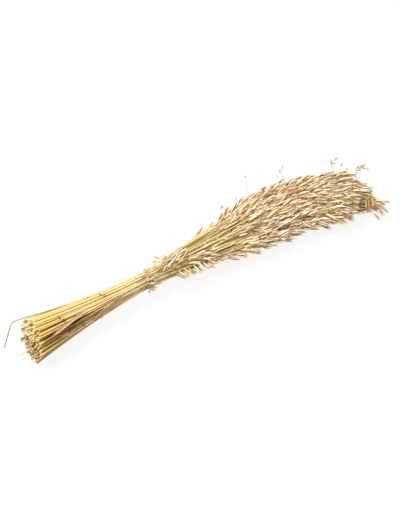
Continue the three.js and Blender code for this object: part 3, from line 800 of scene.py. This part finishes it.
def leaf_strip(start, end, start_angle, end_angle, width, curl):
    """A strip on the rim of the bunch, folded lightly along its midrib, with curled and rippled edges.

    Its width swells from the foot and runs out to a point, which is tucked in between the straws. Each ring
    goes from edge to edge underneath and back over the top.
    """
    along = np.linspace(0, 1, LEAF_ROWS)[:, None]
    edge = np.linspace(-1, 1, LEAF_COLUMNS)[None]
    t = start + (end - start) * along
    swell = 0.75 + 0.25 * np.sin(math.pi * along)
    taper = swell * np.minimum(1, 0.2 + 3 * (1 - along)) * np.minimum(1, 0.4 + 4 * along)
    ragged = 1 + 0.05 * np.sin(along * 23 + edge * 2) + 0.04 * np.sin(along * 57)
    ripple = 0.0003 * np.sin(along * 31 + 2 * edge) * edge ** 2
    lift = curl * edge ** 2 + ripple + 0.0002 * np.abs(edge)
    size = half_size(t)[..., 1]
    tucked = LEAF_TUCK * np.clip((along - 0.4) / 0.6, 0, 1)
    middle = np.radians(start_angle + (end_angle - start_angle) * along)
    round_it = middle - edge * taper * ragged * width / 2 / size - TWIST * (t - TIE_AT)
    surfaces = []
    for height in (LEAF_THICKNESS, 0.0):
        share = 1 + (LEAF_CLEARANCE - tucked + lift + height) / size
        surfaces.append(in_bunch(t, np.cos(round_it) * share, np.sin(round_it) * share))
    return np.concatenate([surfaces[1], surfaces[0][:, ::-1]], 1)[None]


# Dead oat leaf: thin, dull and brittle, with veins 0.4 mm apart, drawn 1.6 mm apart so that they show. It
# bleaches unevenly from brown to a pinkish cream, in patches 2 mm wide and 14 mm long.
dead_leaf = material_called("dead_oat_leaf")
tone = add(dead_leaf, "Attribute", attribute_name="tone")
leaf_colour = add(dead_leaf, "ValToRGB", {"Fac": tone.outputs["Fac"]}, stops=[
    (0.0, linear("#8f7350")), (0.35, linear("#b0946a")), (0.7, linear("#d3b083")), (1.0, linear("#e8cfa4"))])
grain = add(dead_leaf, "UVMap", uv_map="grain")
veins = add(dead_leaf, "TexWave", {
    "Vector": grain.outputs["UV"], "Scale": RIB_SCALE, "Distortion": 0.8, "Detail": 1.0})
vein_tint = add(dead_leaf, "ValToRGB", {"Fac": veins.outputs["Fac"]}, stops=[
    (0.0, linear("#b9a27d")), (0.6, linear("#ffffff"))])
patch_stretch = add(dead_leaf, "Mapping", {"Vector": grain.outputs["UV"], "Scale": (500, 70, 1)})
patches = add(dead_leaf, "TexNoise", {"Vector": patch_stretch.outputs["Vector"], "Scale": 1.0, "Detail": 4.0})
patch_tint = add(dead_leaf, "ValToRGB", {"Fac": patches.outputs["Fac"]}, stops=[
    (0.35, linear("#a98a63")), (0.65, linear("#ffffff"))])
veined = add(dead_leaf, "MixRGB", {
    "Fac": 0.6, "Color1": leaf_colour.outputs["Color"], "Color2": vein_tint.outputs["Color"]},
    blend_type="MULTIPLY")
patched = add(dead_leaf, "MixRGB", {
    "Fac": 0.6, "Color1": veined.outputs["Color"], "Color2": patch_tint.outputs["Color"]},
    blend_type="MULTIPLY")
vein_bump = add(dead_leaf, "Bump", {"Height": veins.outputs["Fac"], "Strength": 0.4, "Distance": 0.0002})
finish_with(dead_leaf, add(dead_leaf, "BsdfPrincipled", {
    "Base Color": patched.outputs["Color"], "Roughness": 0.6, "IOR": 1.45,
    "Normal": vein_bump.outputs["Normal"]}))

# One edge of each strip is palest.
for name, (*strip, leaf_tone) in LEAVES.items():
    points = leaf_strip(*strip)
    edge_tone = leaf_tone + 0.6 * np.clip(np.linspace(-1, 1, LEAF_COLUMNS), 0, 1) ** 5
    blade = skin(points, grain_of(points), 0, tone=np.concatenate([edge_tone, edge_tone[::-1]]))
    piece = made_of(name + "_blade", [blade], [dead_leaf])
    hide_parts(name)

# Loose bits. Two thin whiskers of weathered straw stick out among the cut ends, and a short straw,
# cut at both ends, pokes out of the bunch above the tie, held by the stalks on either side.

ROD_POINTS = 14
WHISKER_RADIUS = 0.0008
WHISKER_SIDES = 6
LOOSE_STRAW_RADIUS = 0.0024
LOOSE_STRAW_SIDES = 10
WHISKERS = {
    # t at its two ends, angle in the section, share of the rim
    "straw_whisker_1": (-0.044, 0.07, 272, 0.48),
    "straw_whisker_2": (-0.048, 0.06, 242, 0.54),
}


def rod_line(start, end, angle, share, bow):
    """A line along the bunch from start to end, at an angle and a share of the rim, bowed up a little."""
    t = np.linspace(start, end, ROD_POINTS)
    way = math.radians(angle)
    line = in_bunch(t, math.cos(way) * share, math.sin(way) * share)
    line[:, 2] += bow * np.sin(np.linspace(0, math.pi, ROD_POINTS))
    return line[None]


for name, whisker in WHISKERS.items():
    whisker_radius = WHISKER_RADIUS * np.linspace(0.75, 1, ROD_POINTS)[None]
    points = rings_round(rod_line(*whisker, 0.0012), whisker_radius, WHISKER_SIDES)
    strand = skin(points, grain_of(points), SKIN, tone=0.62, weathered=1.0)
    piece = made_of(name + "_strand", [strand], [straw_skin])
    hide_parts(name)

loose_line = rod_line(0.425, 0.53, 66, 1.22, 0.0004)
loose_rings = rings_round(loose_line, np.full((1, ROD_POINTS), LOOSE_STRAW_RADIUS), LOOSE_STRAW_SIDES)
loose_ends = []
for end, beyond in ((0, 1), (-1, -2)):
    loose_ends.append(hollow_end(loose_line[:, end], unit(loose_line[:, beyond] - loose_line[:, end]),
                                 loose_rings[:, end] - loose_line[:, end, None]))
points = np.concatenate([loose_ends[0], loose_rings, loose_ends[1][:, ::-1]], 1)
loose_finish = np.array(CUT_FINISH + [SKIN] * (ROD_POINTS - 1) + CUT_FINISH[::-1])
loose_straw = skin(points, grain_of(points), loose_finish, flat=np.flatnonzero(loose_finish != SKIN),
                   tone=0.42, pale=0.2)
piece = made_of("stray_straw_tube", [loose_straw], [straw_skin, straw_cut, hollow_painted_shade])
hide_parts("stray_straw")

# The tie. One natural rubber band is wound twice round the waist. The loop crosses over itself
# once and lies snugly on the straws.

BAND_RADIUS = 0.0009
BAND_SIDES = 8
BAND_POINTS = 160
LOOP_RADIUS = 0.0173
LOOPS_APART = 0.00115
CROSSING = math.radians(150)
band_turn = np.linspace(0, 4 * math.pi, BAND_POINTS, endpoint=False)
beside = LOOPS_APART * np.cos((band_turn - CROSSING + math.pi) / 2)
over = 0.0009 * near(band_turn, CROSSING, 0.25) + 0.00025 * np.sin(7 * band_turn)
tie_way = heading(TIE_AT)
ahead = np.array([math.cos(tie_way), math.sin(tie_way), 0])
left = np.array([-math.sin(tie_way), math.cos(tie_way), 0])
spoke = np.cos(band_turn)[:, None] * left + np.sin(band_turn)[:, None] * np.array([0, 0, 1])
band_line = tie_middle + (LOOP_RADIUS + over)[:, None] * spoke + beside[:, None] * ahead
band_angle = 2 * math.pi * np.arange(BAND_SIDES) / BAND_SIDES
band_round = np.cos(band_angle)[None, :, None] * spoke[:, None] - np.sin(band_angle)[None, :, None] * ahead
band_points = (band_line[:, None] + BAND_RADIUS * band_round)[None]

# Natural rubber: an amber-tan skin, dull with dust, in pale specks about 1.4 mm across.
rubber = material_called("natural_rubber")
band_place = add(rubber, "TexCoord")
dust = add(rubber, "TexNoise", {"Vector": band_place.outputs["Object"], "Scale": 700.0, "Detail": 3.0})
rubber_tint = add(rubber, "ValToRGB", {"Fac": dust.outputs["Fac"]}, stops=[
    (0.35, linear("#b99a66")), (0.65, linear("#dcc79a"))])
finish_with(rubber, add(rubber, "BsdfPrincipled", {
    "Base Color": rubber_tint.outputs["Color"], "Roughness": 0.6, "IOR": 1.52}))
band = skin(band_points, grain_of(band_points), 0, loop=True)
piece = made_of("rubber_band_loop", [band], [rubber])
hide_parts("rubber_band")

# The floor, the camera and the light. A white table top that gives off light itself, so that shadows on
# it stay faint, and soft light from the upper left. The camera looks down on the bunch from its near side.

FLOOR_REACH = 6
floor_mesh = bpy.data.meshes.new("floor")
floor_corners = [(x, y, 0) for x in (-FLOOR_REACH, FLOOR_REACH) for y in (-FLOOR_REACH, FLOOR_REACH)]
floor_mesh.from_pydata(floor_corners, [], [(0, 2, 3, 1)])
floor = bpy.data.objects.new("floor", floor_mesh)
bpy.context.scene.collection.objects.link(floor)
table_top = material_called("lit_white_table_top")
finish_with(table_top, add(table_top, "BsdfPrincipled", {
    "Base Color": linear("#606060"), "Roughness": 0.9, "Emission Color": linear("#ffffff"),
    "Emission Strength": 0.86}))
floor_mesh.materials.append(table_top)

AZIMUTH = math.radians(-25.5)
ELEVATION = math.radians(50)
CAMERA_DISTANCE = 1.9426
HALF_VIEW = math.radians(13)
FRAME_MIDDLE = [0.0995, 0.0094, -0.0106]
looks = np.array([-math.sin(AZIMUTH) * math.cos(ELEVATION), math.cos(AZIMUTH) * math.cos(ELEVATION),
                  -math.sin(ELEVATION)])
camera_data = bpy.data.cameras.new("camera")
camera_data.sensor_fit = "VERTICAL"
camera_data.sensor_height = 36
camera_data.lens = camera_data.sensor_height / 2 / math.tan(HALF_VIEW)
camera = bpy.data.objects.new("camera", camera_data)
camera.location = tie_middle + FRAME_MIDDLE - CAMERA_DISTANCE * looks
camera.rotation_euler = (math.pi / 2 - ELEVATION, 0, AZIMUTH)
bpy.context.scene.collection.objects.link(camera)
bpy.context.scene.camera = camera

lamp_data = bpy.data.lights.new("key_lamp", "AREA")
lamp_data.size = 0.9
lamp_data.energy = 51
lamp_stands = np.array([-0.75, 0.5, 1.9])
lamp_way = np.array([0, 0, 0.03]) - lamp_stands
lamp_tilt = math.atan2(math.hypot(lamp_way[0], lamp_way[1]), -lamp_way[2])
lamp = bpy.data.objects.new("key_lamp", lamp_data)
lamp.location = lamp_stands
lamp.rotation_euler = (lamp_tilt, 0, math.atan2(lamp_way[1], lamp_way[0]) - math.pi / 2)
bpy.context.scene.collection.objects.link(lamp)

world = bpy.data.worlds.new("soft_room")
world.use_nodes = True
world.node_tree.nodes["Background"].inputs["Color"].default_value = (1, 1, 1, 1)
world.node_tree.nodes["Background"].inputs["Strength"].default_value = 0.82
bpy.context.scene.world = world
bpy.context.scene.view_settings.view_transform = "Standard"
